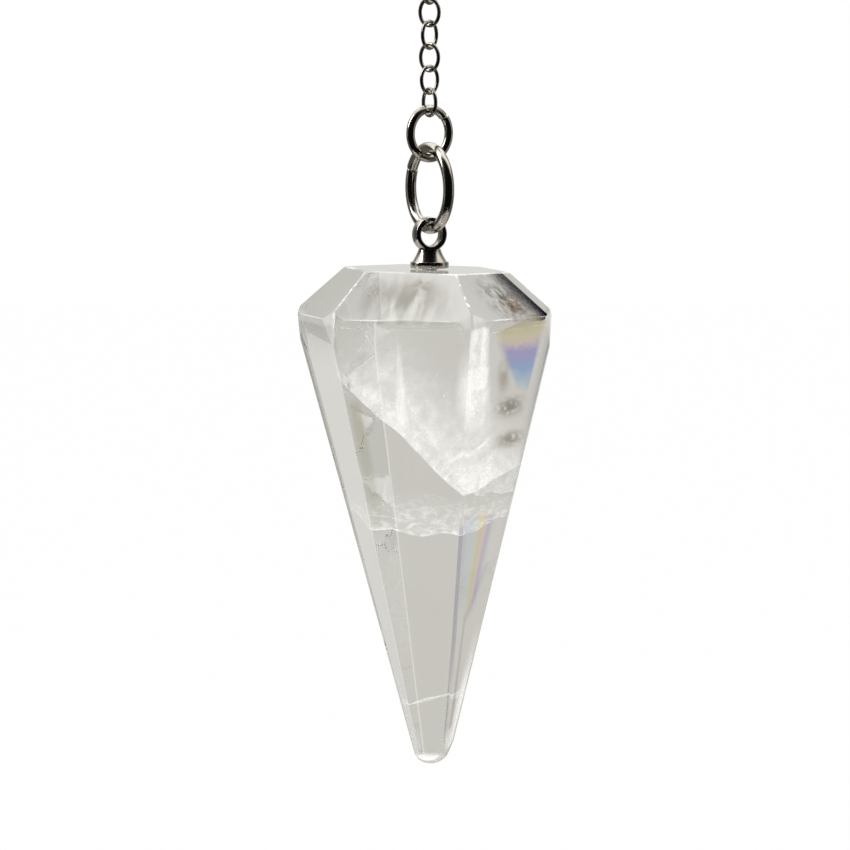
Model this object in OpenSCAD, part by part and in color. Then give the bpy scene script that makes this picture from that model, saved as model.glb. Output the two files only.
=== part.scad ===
// Pendulum pendant: a six-sided rock crystal drop under a turned metal cap,
// hung from two wire rings and a short length of cable chain.
// Millimetres. +Z is up, the front faces -Y, and the origin is the inside top
// of the highest chain link, where the pendant hangs.

/* [Chain] */
// Height of a chain link, outside
link_h = 2.45; // [2.3:0.05:3.2]
// Width of a chain link, outside
link_w = 2.15; // [1.7:0.05:2.2]
// Wire of a chain link
link_wire = 0.3; // [0.2:0.02:0.36]

/* [Jump ring] */
// Diameter of the jump ring, outside
jump_d = 4.65; // [4:0.05:6]
// Wire of the jump ring
jump_wire = 0.7; // [0.5:0.05:0.8]
// Turn of the jump ring about the vertical, left side towards the front
jump_angle = 40; // [30:1:60]

/* [Carrier ring] */
// Diameter of the carrier ring, outside
ring_d = 7.4; // [6.5:0.1:9]
// Wire of the carrier ring
ring_wire = 0.9; // [0.6:0.05:1]
// Turn of the carrier ring about the vertical, right side towards the front
ring_angle = -61.8; // [-70:0.2:-45]

/* [Eye and cap] */
// Diameter of the eye, outside
eye_d = 2.8; // [2.7:0.05:3.4]
// Diameter of the hole in the eye
eye_hole_d = 1.9; // [1.7:0.05:2.1]
// Width of the eye along its hole
eye_w = 0.9; // [0.6:0.05:1.2]
// Diameter of the bell's neck, under the eye
neck_d = 1.8; // [1.2:0.1:1.8]
// Height of the bell between flange and eye
bell_h = 1.0; // [0.7:0.1:2]
// Diameter of the bell's foot, on the flange
bell_d = 2.75; // [2.2:0.05:2.8]
// Diameter of the flange
flange_d = 3.1; // [3:0.1:4.5]
// Thickness of the flange
flange_h = 0.52; // [0.3:0.02:1]
// Diameter of the hidden peg in the stone
peg_d = 1.2; // [0.8:0.1:1.6]
// Length of the hidden peg
peg_l = 1.6; // [1:0.1:3]

/* [Stone] */
// Height of the stone from its table to its tip
stone_h = 40; // [30:0.1:50]
// Height of the crown from the girdle to the table
crown_h = 3.6; // [3:0.1:5]
// Corner radius of the six-sided girdle before polishing
girdle_r = 10.9; // [10:0.1:13]
// Radius to which polishing takes the girdle's corners
girdle_polish_r = 10.25; // [9.8:0.05:13]
// Corner radius of the table
table_r = 6.75; // [5:0.05:8]
// Corner radius that the six sides would have at the tip
tip_r = 1.15; // [0.9:0.05:1.6]
// Radius of the rounded tip
nose_r = 1.65; // [1.4:0.05:2]
// Slope of the table, lower to the right, in degrees
table_angle = 1.4; // [0:0.1:2]
// Sideways place of the girdle and the table off the hanging line
girdle_shift = -0.4; // [-0.6:0.05:0.6]
// Sideways place of the tip off the hanging line
tip_shift = 0.1; // [-0.6:0.05:0.6]

/* [Clearances] */
// Gap between wires that hang in each other
wire_gap = 0.05; // [0.03:0.01:0.1]
// Slit where a ring's wire ends meet
slit = 0.08; // [0.05:0.01:0.2]
// Room for glue round the peg and under the flange
glue_gap = 0.05; // [0.03:0.01:0.1]

/* [Hidden] */
$fn = 48;

// Turn of each link about the vertical, from the top of the chain down
link_turns = [55, -35, 53, -40, 46, -58];
// Steps round a link, and sides of its wire
link_steps = 28;
wire_sides = 8;

// Where the wire ends meet, in degrees from the ring's right side
jump_slit_angle = 41;
ring_slit_angle = 153;

// Chamfers on the eye's rims, the flange and the peg
eye_chamfer = 0.12;
flange_chamfer = 0.08;
peg_chamfer = 0.1;
// How far the bell's neck reaches into the eye's rim
neck_bite = 0.2;
// How hollow the bell's side is: 1 is a straight cone
bell_hollow = 1.3;
bell_steps = 8;

// The stone's six sides. BEARING points out of the side, in degrees from +X
// towards +Y; HALF is half the angle between its two corners; TIP is how far
// out it lies at the tip, as a share of tip_r
BEARING = 0;
HALF = 1;
TIP = 2;
sides = [
    [-101.75, 33.25, 1],
    [-40.25, 28.25, 1.73],
    [18, 30, 1],
    [76.5, 28.5, 1],
    [136.5, 31.5, 1],
    [-163.5, 28.5, 1]
];
// The sides run on past the table and the tip, which are cut afterwards
overrun = 1;
// Larger than the stone in any direction
beyond = 3 * stone_h;

// Heights, worked out from the hanging point down
link_pitch = link_h - 2 * link_wire - wire_gap;
chain_bottom = link_wire - (len(link_turns) - 1) * link_pitch - link_h;
jump_z = chain_bottom + link_wire + wire_gap + jump_wire - jump_d / 2;
jump_bottom = jump_z - jump_d / 2;
ring_z = jump_bottom + jump_wire + wire_gap + ring_wire - ring_d / 2;
ring_bottom = ring_z - ring_d / 2;
eye_z = ring_bottom + ring_wire + wire_gap - eye_hole_d / 2;
neck_z = eye_z - eye_d / 2 + neck_bite;
flange_top = neck_z - bell_h;
flange_bottom = flange_top - flange_h;
table_z = flange_bottom - glue_gap - flange_d / 2 * tan(table_angle);
girdle_z = table_z - crown_h;
tip_z = table_z - stone_h;

// Stands a flat ring or link upright and turns it about the vertical
module upright(turn, z) {
    translate([0, 0, z])
        rotate([0, 0, turn])
            rotate([90, 0, 0])
                children();
}

// A point on the link's wire: at an angle round the oval, and an angle round the wire
function link_point(round_link, round_wire) =
    let (
        half_w = (link_w - link_wire) / 2,
        half_h = (link_h - link_wire) / 2,
        outward = [cos(round_link) / half_w, sin(round_link) / half_h],
        out = outward / norm(outward),
        off = link_wire / 2 * cos(round_wire)
    )
    [
        half_w * cos(round_link) + off * out.x,
        half_h * sin(round_link) + off * out.y,
        link_wire / 2 * sin(round_wire)
    ];

// A closed oval link, its wire swept round an ellipse
module oval_link() {
    points = [
        for (i = [0:link_steps - 1], j = [0:wire_sides - 1])
            link_point(360 * i / link_steps, 360 * j / wire_sides)
    ];
    faces = [
        for (i = [0:link_steps - 1], j = [0:wire_sides - 1])
            let (next_i = (i + 1) % link_steps, next_j = (j + 1) % wire_sides)
            [
                i * wire_sides + j,
                i * wire_sides + next_j,
                next_i * wire_sides + next_j,
                next_i * wire_sides + j
            ]
    ];
    polyhedron(points, faces, convexity = 4);
}

// A ring of round wire, cut through where its ends meet
module wire_ring(d, wire, slit_at) {
    difference() {
        rotate_extrude()
            translate([(d - wire) / 2, 0])
                circle(d = wire);
        rotate([0, 0, slit_at])
            translate([(d - wire) / 2, 0, 0])
                cube([2 * wire, slit, 2 * wire], center = true);
    }
}

module chain_link(i) {
    color("silver")
        upright(link_turns[i], link_wire - i * link_pitch - link_h / 2)
            oval_link();
}

module jump_ring() {
    color("silver")
        upright(jump_angle, jump_z)
            wire_ring(jump_d, jump_wire, jump_slit_angle);
}

module carrier_ring() {
    color("silver")
        upright(ring_angle, ring_z)
            wire_ring(ring_d, ring_wire, ring_slit_angle);
}

// The eye's section: a block between the hole and the outside, its edges chamfered
module eye_section() {
    inner = eye_hole_d / 2;
    outer = eye_d / 2;
    side = eye_w / 2;
    c = eye_chamfer;
    polygon([
        [inner + c, -side], [outer - c, -side], [outer, c - side], [outer, side - c],
        [outer - c, side], [inner + c, side], [inner, side - c], [inner, c - side]
    ]);
}

// Radius of the bell at a share t of its height above the flange
function bell_r(t) = neck_d / 2 + (bell_d - neck_d) / 2 * pow(1 - t, bell_hollow);

// Peg, flange and bell are turned in one piece
module cap_section() {
    bell = [for (i = [0:bell_steps]) [bell_r(i / bell_steps), flange_top + bell_h * i / bell_steps]];
    polygon(concat(
        [
            [0, flange_bottom - peg_l],
            [peg_d / 2 - peg_chamfer, flange_bottom - peg_l],
            [peg_d / 2, flange_bottom - peg_l + peg_chamfer],
            [peg_d / 2, flange_bottom],
            [flange_d / 2 - flange_chamfer, flange_bottom],
            [flange_d / 2, flange_bottom + flange_chamfer],
            [flange_d / 2, flange_top - flange_chamfer],
            [flange_d / 2 - flange_chamfer, flange_top]
        ],
        bell,
        [[0, neck_z]]
    ));
}

module eye_cap() {
    color("silver")
        union() {
            rotate_extrude()
                cap_section();
            translate([0, 0, eye_z])
                rotate([0, 0, ring_angle])
                    rotate([0, 90, 0])
                        rotate_extrude()
                            eye_section();
        }
}

// How far a side lies from the hanging line, for a corner radius r whose centre is shifted
function side_at(side, r, shift) = r * cos(side[HALF]) + shift * cos(side[BEARING]);

// All that lies behind one side: its crown facet above the girdle and its long facet below
module behind_side(side) {
    at_table = side_at(side, table_r, girdle_shift);
    at_girdle = side_at(side, girdle_r, girdle_shift);
    at_tip = side_at(side, tip_r * side[TIP], tip_shift);
    crown_run = (at_girdle - at_table) / crown_h;
    long_run = (at_girdle - at_tip) / (girdle_z - tip_z);
    rotate([0, 0, side[BEARING]])
        rotate([90, 0, 0])
            linear_extrude(2 * beyond, center = true)
                polygon([
                    [-beyond, table_z + overrun],
                    [at_table - crown_run * overrun, table_z + overrun],
                    [at_girdle, girdle_z],
                    [at_tip - long_run * overrun, tip_z - overrun],
                    [-beyond, tip_z - overrun]
                ]);
}

// All that lies below the table
module below_table() {
    translate([0, 0, table_z])
        rotate([0, table_angle, 0])
            translate([-beyond, -beyond, -beyond])
                cube([2 * beyond, 2 * beyond, beyond]);
}

// What polishing leaves of the tip: a round nose, with room for the sides above it
module round_nose() {
    nose_z = tip_z + nose_r;
    meet_r = nose_r * cos(45);
    meet_z = nose_z - nose_r * sin(45);
    flare = 2 * girdle_r - meet_r;
    translate([tip_shift, 0, 0])
        union() {
            translate([0, 0, nose_z])
                sphere(nose_r);
            rotate_extrude()
                polygon([
                    [0, meet_z],
                    [meet_r, meet_z],
                    [2 * girdle_r, meet_z + flare],
                    [2 * girdle_r, table_z + overrun],
                    [0, table_z + overrun]
                ]);
        }
}

// What polishing leaves of the girdle's corners
module round_girdle() {
    translate([girdle_shift, 0, tip_z - overrun])
        cylinder(h = stone_h + 2 * overrun, r = girdle_polish_r);
}

module crystal() {
    color("whitesmoke", 0.6)
        difference() {
            intersection() {
                intersection_for (side = sides)
                    behind_side(side);
                below_table();
                round_girdle();
                round_nose();
            }
            translate([0, 0, flange_bottom - peg_l - glue_gap])
                cylinder(h = peg_l + overrun, d = peg_d + 2 * glue_gap);
        }
}

for (i = [0:len(link_turns) - 1])
    chain_link(i);
jump_ring();
carrier_ring();
eye_cap();
crystal();
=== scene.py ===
# %% [markdown]
# A pendulum pendant: a six-sided drop of clear rock crystal under a turned metal cap. The cap's eye hangs
# in a carrier ring, that ring in a smaller jump ring, and that one in the last link of a cable chain. The
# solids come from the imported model, which is loaded first and never changed. Every piece here is modelled
# round it in the same frame: metres, +Z up, the front towards -Y, and the origin at the inside top of the
# highest link.

import math

import bpy
from mathutils import Matrix, Vector


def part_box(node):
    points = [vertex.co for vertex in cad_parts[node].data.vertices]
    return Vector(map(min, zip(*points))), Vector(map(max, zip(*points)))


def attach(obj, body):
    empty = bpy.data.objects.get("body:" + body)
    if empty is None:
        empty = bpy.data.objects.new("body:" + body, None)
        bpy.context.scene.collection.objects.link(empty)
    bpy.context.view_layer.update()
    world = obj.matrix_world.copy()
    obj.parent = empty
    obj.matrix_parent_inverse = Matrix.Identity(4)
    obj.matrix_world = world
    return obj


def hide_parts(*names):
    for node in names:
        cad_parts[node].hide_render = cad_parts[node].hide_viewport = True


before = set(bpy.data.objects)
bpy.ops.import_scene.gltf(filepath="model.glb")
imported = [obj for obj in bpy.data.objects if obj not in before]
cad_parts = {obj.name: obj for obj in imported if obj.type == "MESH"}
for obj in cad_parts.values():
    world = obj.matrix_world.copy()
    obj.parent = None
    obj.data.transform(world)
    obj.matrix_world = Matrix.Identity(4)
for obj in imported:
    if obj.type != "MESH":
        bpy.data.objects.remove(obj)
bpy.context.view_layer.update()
MM = 0.001

# %% [markdown]
# The photograph is a close view through a long lens, from a little above. A long lens far away keeps the
# ring and the tip at one scale. The picture is 850 pixels square, and the scale in it was worked out from
# the stone's length.

# %% Camera
PICTURE = 850
MM_PER_PIXEL = 0.0805
HANGING_LINE_X = 429.5
HANG_POINT_Y = -19.25
CAMERA_RISE = math.radians(4.7)
CAMERA_AWAY = 0.5
SENSOR = 36.0

middle = PICTURE / 2
aim = Vector((
    (middle - HANGING_LINE_X) * MM_PER_PIXEL * MM,
    0,
    -(middle - HANG_POINT_Y) * MM_PER_PIXEL * MM / math.cos(CAMERA_RISE),
))
view_direction = Vector((0, math.cos(CAMERA_RISE), -math.sin(CAMERA_RISE)))

scene = bpy.context.scene
camera_data = bpy.data.cameras.new("camera")
camera = bpy.data.objects.new("camera", camera_data)
scene.collection.objects.link(camera)
scene.camera = camera
camera.location = aim - view_direction * CAMERA_AWAY
camera.rotation_euler = view_direction.to_track_quat("-Z", "Y").to_euler()
camera_data.sensor_width = SENSOR
camera_data.lens = SENSOR * CAMERA_AWAY / (PICTURE * MM_PER_PIXEL * MM)
camera_data.clip_start = 0.01
camera_data.clip_end = 20
print("Lens in mm:", round(camera_data.lens, 1))

# %% [markdown]
# Every material and the room are networks of nodes. Written out one link at a time they are hard to read,
# so one helper adds a node, sets its options, and sets or links its inputs in a single statement. The
# others make the nodes that are needed most.


# %% Helpers for node networks
def put(tree, kind, inputs=None, **settings):
    """Adds a shader node: each input takes a plain value, or the output of another node."""
    made = tree.nodes.new("ShaderNode" + kind)
    for name, value in settings.items():
        setattr(made, name, value)
    for socket, value in (inputs or {}).items():
        if isinstance(value, bpy.types.NodeSocket):
            tree.links.new(value, made.inputs[socket])
        else:
            made.inputs[socket].default_value = value
    return made


def math_node(tree, operation, first, second=0.0):
    """The result of one sum on two numbers or sockets."""
    return put(tree, "Math", {0: first, 1: second}, operation=operation).outputs["Value"]


def smooth_step(tree, value, start, end):
    """Rises softly from 0 to 1 as the value goes from start to end."""
    inputs = {"Value": value, "From Min": start, "From Max": end}
    return put(tree, "MapRange", inputs, interpolation_type="SMOOTHSTEP").outputs["Result"]


def mix_colour(tree, factor, first, second):
    """The first colour where the factor is 0, the second where it is 1."""
    inputs = {"Factor": factor, "A": first, "B": second}
    return put(tree, "Mix", inputs, data_type="RGBA").outputs["Result"]


def soft_noise(tree, place, scale, detail):
    """A noise between 0 and 1; the scale says how many of its grains fit in a metre."""
    return put(tree, "TexNoise", {"Vector": place, "Scale": scale, "Detail": detail}).outputs["Fac"]


# %% [markdown]
# Clear stone and polished metal show only what is round them, so the studio matters as much as the
# materials. A photographer lights such a piece in a tent with a bright top and dim sides, and hides the
# camera behind a black card, which gives the metal its black edges. A second black card hangs in the
# direction that the right crown flat mirrors, so that its own colour shows. The stone is placed before a
# warm light grey that it bends into view. Seen directly, the room is plain white, as the photograph's
# background is. The Light Path node tells these three apart.

# %% Colours of the studio
WHITE = (1, 1, 1, 1)
TENT_BACK = (0.48, 0.47, 0.44, 1)
TENT_FAR = (0.76, 0.745, 0.71, 1)
TENT_LEFT = (0.08, 0.077, 0.07, 1)
TENT_RIGHT = (0.17, 0.16, 0.14, 1)
TENT_TOP = (1.6, 1.59, 1.56, 1)
TABLE_MIRRORED = (0.15, 0.135, 0.115, 1)
BLACK_CARD = (0.005, 0.005, 0.006, 1)
GREY_CARD = (0.61, 0.595, 0.555, 1)
GREY_CARD_RIGHT = (0.79, 0.78, 0.74, 1)
LIT_EDGE = (0.92, 0.915, 0.89, 1)
DARK_EDGE = (0.34, 0.34, 0.35, 1)
ROOM_BEHIND = (0.56, 0.55, 0.51, 1)
TABLE_LIGHT = (0.75, 0.74, 0.70, 1)
TABLE_DARK = (0.64, 0.63, 0.6, 1)
CROWN_MIRRORS = (0.546, 0.534, 0.645)

# %% [markdown]
# The room is one background with a colour for every direction. Each card fades in where a measure of the
# direction passes from one value to another, and a later card covers the earlier ones. Rays turn many
# times inside the stone, so they are allowed many bounces, or they would end in black.

# %% Room
scene.view_settings.view_transform = "Standard"
scene.cycles.max_bounces = 64
scene.cycles.diffuse_bounces = 4
scene.cycles.glossy_bounces = 64
scene.cycles.transmission_bounces = 64
scene.cycles.transparent_max_bounces = 128

world = bpy.data.worlds.new("studio")
scene.world = world
world.use_nodes = True
room = world.node_tree
room.nodes.clear()
direction = put(room, "TexCoord").outputs["Generated"]
along = put(room, "SeparateXYZ", {"Vector": direction}).outputs
ray = put(room, "LightPath").outputs
below = math_node(room, "MULTIPLY", along["Z"], -1.0)
to_camera = math_node(room, "MULTIPLY", along["Y"], -1.0)
sideways = math_node(room, "ABSOLUTE", along["X"])
to_crown_card = put(room, "VectorMath", {0: direction, 1: CROWN_MIRRORS}, operation="DOT_PRODUCT").outputs


def hang_cards(colour, cards):
    """Lays cards over a colour: each fades in as a measure of the direction goes from start to end."""
    for measure, start, end, card_colour in cards:
        colour = mix_colour(room, smooth_step(room, measure, start, end), colour, card_colour)
    return colour


mirrored = hang_cards(TENT_LEFT, [
    (along["X"], -0.5, 0.5, TENT_RIGHT),
    (along["Y"], 0.45, 0.9, TENT_BACK),
    (along["Y"], 0.93, 0.985, TENT_FAR),
    (along["Z"], 0.35, 0.6, TENT_TOP),
    (to_crown_card["Value"], 0.985, 0.993, BLACK_CARD),
    (below, 0.15, 0.4, TABLE_MIRRORED),
    (to_camera, 0.05, 0.35, BLACK_CARD),
])
wall = hang_cards(GREY_CARD, [
    (along["X"], 0.05, 0.4, GREY_CARD_RIGHT),
    (sideways, 0.76, 0.84, LIT_EDGE),
    (sideways, 0.88, 0.95, DARK_EDGE),
])
table_top = hang_cards(TABLE_DARK, [
    (along["X"], -0.65, 0.5, TABLE_LIGHT),
    (sideways, 0.7, 0.82, ROOM_BEHIND),
])
seen_through = hang_cards(table_top, [
    (along["Z"], -0.24, -0.06, wall),
    (below, 0.48, 0.62, ROOM_BEHIND),
    (to_camera, -0.05, 0.15, ROOM_BEHIND),
])
around = mix_colour(room, ray["Is Transmission Ray"], mirrored, seen_through)
shown = mix_colour(room, ray["Is Camera Ray"], around, WHITE)
background = put(room, "Background", {"Color": shown})
put(room, "OutputWorld", {"Surface": background.outputs["Background"]})
print("Nodes in the room:", len(room.nodes))

# %% [markdown]
# Soft boxes put the light streaks on the metal. Each is an area light that faces the pendant, and its
# power grows with its size, so that a larger box isn't brighter to look at. The veils inside the stone get
# a light of their own, which the metal doesn't mirror.

# %% Soft lights
WATTS_PER_SQUARE_METRE = 4


def softbox(name, place, width, height, brightness, mirrored=True):
    """An area light that faces the pendant. Metal may mirror it, but it isn't seen through the stone."""
    data = bpy.data.lights.new(name, "AREA")
    data.shape = "RECTANGLE"
    data.size = width
    data.size_y = height
    data.energy = brightness * WATTS_PER_SQUARE_METRE * width * height
    light = bpy.data.objects.new(name, data)
    scene.collection.objects.link(light)
    light.location = place
    light.rotation_euler = (aim - Vector(place)).to_track_quat("-Z", "Y").to_euler()
    light.visible_camera = False
    light.visible_transmission = False
    light.visible_glossy = mirrored
    print(name, "gives", round(data.energy, 3), "watts")


softbox("left_light", (-0.85, 0.0, 0.1), width=0.2, height=0.6, brightness=0.35)
softbox("right_light", (0.85, 0.1, 0.1), width=0.2, height=0.6, brightness=0.5)
softbox("key_light", (-0.65, -0.08, 0.55), width=0.2, height=0.7, brightness=5)
softbox("veil_light", (0.1, -0.8, 0.45), width=0.4, height=0.4, brightness=20, mirrored=False)

# %% [markdown]
# The pendant hangs, so the floor is well below its tip and carries nothing. It is a wide, flat sheet of
# white card. The camera sees it almost as white as the room, and neither the metal nor the stone shows it.

# %% Floor
FLOOR_Z = -0.12
FLOOR_SIZE = 3.0
CARD_WHITE = (0.5, 0.49, 0.47, 1)
SEEN_WHITE = 0.99


def deselect_all():
    """Leaves nothing selected, in object mode, so that an operator acts only on what comes next."""
    if bpy.context.object and bpy.context.object.mode != "OBJECT":
        bpy.ops.object.mode_set(mode="OBJECT")
    bpy.ops.object.select_all(action="DESELECT")


deselect_all()
bpy.ops.mesh.primitive_grid_add(x_subdivisions=8, y_subdivisions=8, size=FLOOR_SIZE, location=(0, 0, FLOOR_Z))
floor = bpy.context.object
floor.name = "floor"
floor_material = bpy.data.materials.new("white_card")
floor_material.use_nodes = True
card = floor_material.node_tree
paper = card.nodes["Principled BSDF"]
paper.inputs["Base Color"].default_value = CARD_WHITE
paper.inputs["Roughness"].default_value = 0.9
glow = put(card, "Emission", {"Color": WHITE})
camera_share = math_node(card, "MULTIPLY", put(card, "LightPath").outputs["Is Camera Ray"], SEEN_WHITE)
shown_card = put(card, "MixShader", {0: camera_share, 1: paper.outputs["BSDF"], 2: glow.outputs["Emission"]})
card.links.new(shown_card.outputs["Shader"], card.nodes["Material Output"].inputs["Surface"])
floor.data.materials.append(floor_material)
floor.visible_transmission = False
floor.visible_glossy = False
print("The floor lies", round(-FLOOR_Z / MM), "mm below the hang point")

# %% [markdown]
# The metal parts are plated and polished to a nickel tone. Plating is never quite even: fine handling
# marks break up the reflections, and soft patches of it are warmer and duller. One function makes the
# three metals, each with its own tone and roughness, so that the thin chain wire looks a little duller
# than the cap.


# %% Metal
def metal(name, tone, roughness, mark_size):
    """Polished plate: its tone and roughness vary with a soft noise, and a fine noise marks its surface."""
    material = bpy.data.materials.new(name)
    material.use_nodes = True
    tree = material.node_tree
    surface = tree.nodes["Principled BSDF"]
    surface.inputs["Metallic"].default_value = 1.0
    place = put(tree, "TexCoord").outputs["Object"]
    film = soft_noise(tree, place, scale=0.35 / mark_size, detail=3.0)
    dull_tone = (tone[0] * 0.80, tone[1] * 0.77, tone[2] * 0.72, 1)
    colour = mix_colour(tree, smooth_step(tree, film, 0.35, 0.6), dull_tone, (*tone, 1))
    tree.links.new(colour, surface.inputs["Base Color"])
    rough = put(tree, "MapRange", {"Value": film, "From Min": 0.3, "From Max": 0.7,
                                   "To Min": roughness * 1.6, "To Max": roughness})
    tree.links.new(rough.outputs["Result"], surface.inputs["Roughness"])
    marks = soft_noise(tree, place, scale=1 / mark_size, detail=4.0)
    bump = put(tree, "Bump", {"Height": marks, "Strength": 0.05, "Distance": 0.004 * MM})
    tree.links.new(bump.outputs["Normal"], surface.inputs["Normal"])
    print(name, "is made of", len(tree.nodes), "nodes")
    return material


chain_metal = metal("chain_metal", (0.46, 0.44, 0.41), roughness=0.18, mark_size=0.3 * MM)
ring_metal = metal("ring_metal", (0.54, 0.52, 0.48), roughness=0.12, mark_size=0.8 * MM)
cap_metal = metal("cap_metal", (0.56, 0.54, 0.51), roughness=0.11, mark_size=0.8 * MM)


# %% [markdown]
# Three of Blender's habits matter in every piece: an operator acts on all that is selected, a new piece
# has to ride on a body of the model, and it has to lie at the origin with its place in its mesh. These
# helpers see to that.


# %% Helpers for pieces
def active():
    """The piece that an operator has just made."""
    return bpy.context.view_layer.objects.active


def apply_place(piece):
    """Moves an object's place, turn and size into its mesh."""
    deselect_all()
    piece.select_set(True)
    bpy.context.view_layer.objects.active = piece
    bpy.ops.object.transform_apply(location=True, rotation=True, scale=True)


def apply_modifier(piece, modifier):
    """Turns what a modifier does into the piece's own mesh."""
    bpy.context.view_layer.objects.active = piece
    bpy.ops.object.modifier_apply(modifier=modifier.name)


def settle(piece, body, material=None):
    """Finishes a piece: its material and the body that carries it."""
    if material:
        piece.data.materials.clear()
        piece.data.materials.append(material)
    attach(piece, body)
    print(piece.name, "has", len(piece.data.polygons), "faces")


# %% [markdown]
# A cable chain is made of closed oval links of round wire. By hand it is one link: a circle curve
# squeezed to an oval, given the wire's thickness, and turned into a mesh. A curve keeps the wire round,
# which scaling a ring wouldn't. The other five are copies, each turned across the one above it, as links
# lie in a hanging chain.

# %% Chain links
LINK_H = 2.45 * MM
LINK_W = 2.15 * MM
LINK_WIRE = 0.3 * MM
LINK_TURNS = [55, -35, 53, -40, 46, -58]

deselect_all()
bpy.ops.curve.primitive_bezier_circle_add(radius=1)
pattern = active()
bpy.ops.object.mode_set(mode="EDIT")
bpy.ops.transform.resize(value=((LINK_W - LINK_WIRE) / 2, (LINK_H - LINK_WIRE) / 2, 1))
bpy.ops.object.mode_set(mode="OBJECT")
pattern.data.resolution_u = 14
pattern.data.bevel_depth = LINK_WIRE / 2
pattern.data.bevel_resolution = 4
bpy.ops.object.convert(target="MESH")
pattern = active()
bpy.ops.object.shade_smooth()
print("A link is", [round(d / MM, 2) for d in pattern.dimensions], "mm")


def hang_ring(piece, turn, height):
    """Stands a flat ring upright, turns it about the hanging line and lifts it to its place."""
    piece.rotation_euler = (math.radians(90), 0, math.radians(turn))
    piece.location = (0, 0, height)
    apply_place(piece)


for number, turn in enumerate(LINK_TURNS, start=1):
    node = f"link_{number}"
    deselect_all()
    pattern.select_set(True)
    bpy.context.view_layer.objects.active = pattern
    bpy.ops.object.duplicate()
    link = active()
    link.name = f"chain_{node}"
    low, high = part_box(node)
    hang_ring(link, turn, (low.z + high.z) / 2)
    settle(link, "chain", chain_metal)
    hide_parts(node)
bpy.data.objects.remove(pattern)


# %% [markdown]
# The two rings are wire bent round a rod and cut, so each has a butt joint. The ends of such a ring
# seldom meet squarely: opened and closed with pliers, one stands a little to the side. The Screw modifier
# turns a wire's round section about the ring's axis and shifts it sideways on the way, which is just
# this. The open ends are then filled.


# %% Split rings
CARRIER_TURN = -61.8


def split_ring(name, diameter, wire, joint_at, gap, step, turn, height):
    """A ring of round wire, cut at an angle from its right side, with its ends a step apart."""
    radius = (diameter - wire) / 2
    gap_angle = 2 * math.asin(gap / 2 / radius)
    deselect_all()
    bpy.ops.mesh.primitive_circle_add(vertices=24, radius=wire / 2, location=(radius, 0, -step / 2),
                                      rotation=(math.radians(90), 0, 0))
    ring = active()
    ring.name = name
    apply_place(ring)
    sweep = ring.modifiers.new("sweep", "SCREW")
    sweep.axis = "Z"
    sweep.angle = 2 * math.pi - gap_angle
    sweep.screw_offset = step
    sweep.steps = 120
    sweep.render_steps = 120
    apply_modifier(ring, sweep)
    bpy.ops.object.mode_set(mode="EDIT")
    bpy.ops.mesh.select_all(action="DESELECT")
    bpy.ops.mesh.select_non_manifold()
    bpy.ops.mesh.fill_holes(sides=0)
    bpy.ops.mesh.select_all(action="SELECT")
    bpy.ops.mesh.normals_make_consistent(inside=False)
    bpy.ops.object.mode_set(mode="OBJECT")
    ring.rotation_euler = (0, 0, math.radians(joint_at) + gap_angle / 2)
    apply_place(ring)
    rims = ring.modifiers.new("rims", "BEVEL")
    rims.width = 0.04 * MM
    rims.segments = 2
    rims.angle_limit = math.radians(60)
    apply_modifier(ring, rims)
    bpy.ops.object.shade_smooth_by_angle(angle=math.radians(50))
    hang_ring(ring, turn, height)
    return ring


jump_low, jump_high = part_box("jump_ring")
jump = split_ring("jump_ring_wire", diameter=4.65 * MM, wire=0.7 * MM, joint_at=41, gap=0.08 * MM,
                  step=0.12 * MM, turn=40, height=(jump_low.z + jump_high.z) / 2)
settle(jump, "chain", ring_metal)
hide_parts("jump_ring")

carrier_low, carrier_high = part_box("carrier_ring")
carrier = split_ring("carrier_ring_wire", diameter=7.4 * MM, wire=0.9 * MM, joint_at=153, gap=0.08 * MM,
                     step=0.06 * MM, turn=CARRIER_TURN, height=(carrier_low.z + carrier_high.z) / 2)
settle(carrier, "chain", ring_metal)
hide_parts("carrier_ring")

# %% [markdown]
# The cap is turned on a lathe: a peg, a flange, and a bell with a hollow side up to the eye. In Blender a
# turned shape grows from a disc, whose rim is extruded up and resized, section by section.

# %% Turn the cap
EYE_D = 2.8 * MM
EYE_HOLE_D = 1.9 * MM
EYE_W = 0.9 * MM
EYE_CHAMFER = 0.12 * MM
EYE_TURN = CARRIER_TURN + 90
EYE_SINK = 0.2 * MM
NECK_R = 0.9 * MM
BELL_H = 1.0 * MM
BELL_R = 1.375 * MM
BELL_HOLLOW = 1.3
BELL_STEPS = 10
FLANGE_R = 1.55 * MM
FLANGE_H = 0.52 * MM
FLANGE_ROUND = 0.08 * MM
ROUND_MIDDLE = 0.3 * FLANGE_ROUND
PEG_R = 0.6 * MM
PEG_CHAMFER = 0.1 * MM

cap_low, cap_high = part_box("eye_cap")
eye_z = cap_high.z - EYE_D / 2
neck_z = eye_z - EYE_D / 2 + EYE_SINK
flange_top = neck_z - BELL_H
flange_bottom = flange_top - FLANGE_H
sections = [
    (PEG_R - PEG_CHAMFER, cap_low.z),
    (PEG_R, cap_low.z + PEG_CHAMFER),
    (PEG_R, flange_bottom),
    (FLANGE_R - FLANGE_ROUND, flange_bottom),
    (FLANGE_R - ROUND_MIDDLE, flange_bottom + ROUND_MIDDLE),
    (FLANGE_R, flange_bottom + FLANGE_ROUND),
    (FLANGE_R, flange_top - FLANGE_ROUND),
    (FLANGE_R - ROUND_MIDDLE, flange_top - ROUND_MIDDLE),
    (FLANGE_R - FLANGE_ROUND, flange_top),
]
for i in range(BELL_STEPS + 1):
    rise = i / BELL_STEPS
    sections.append((NECK_R + (BELL_R - NECK_R) * (1 - rise) ** BELL_HOLLOW, flange_top + BELL_H * rise))


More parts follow.
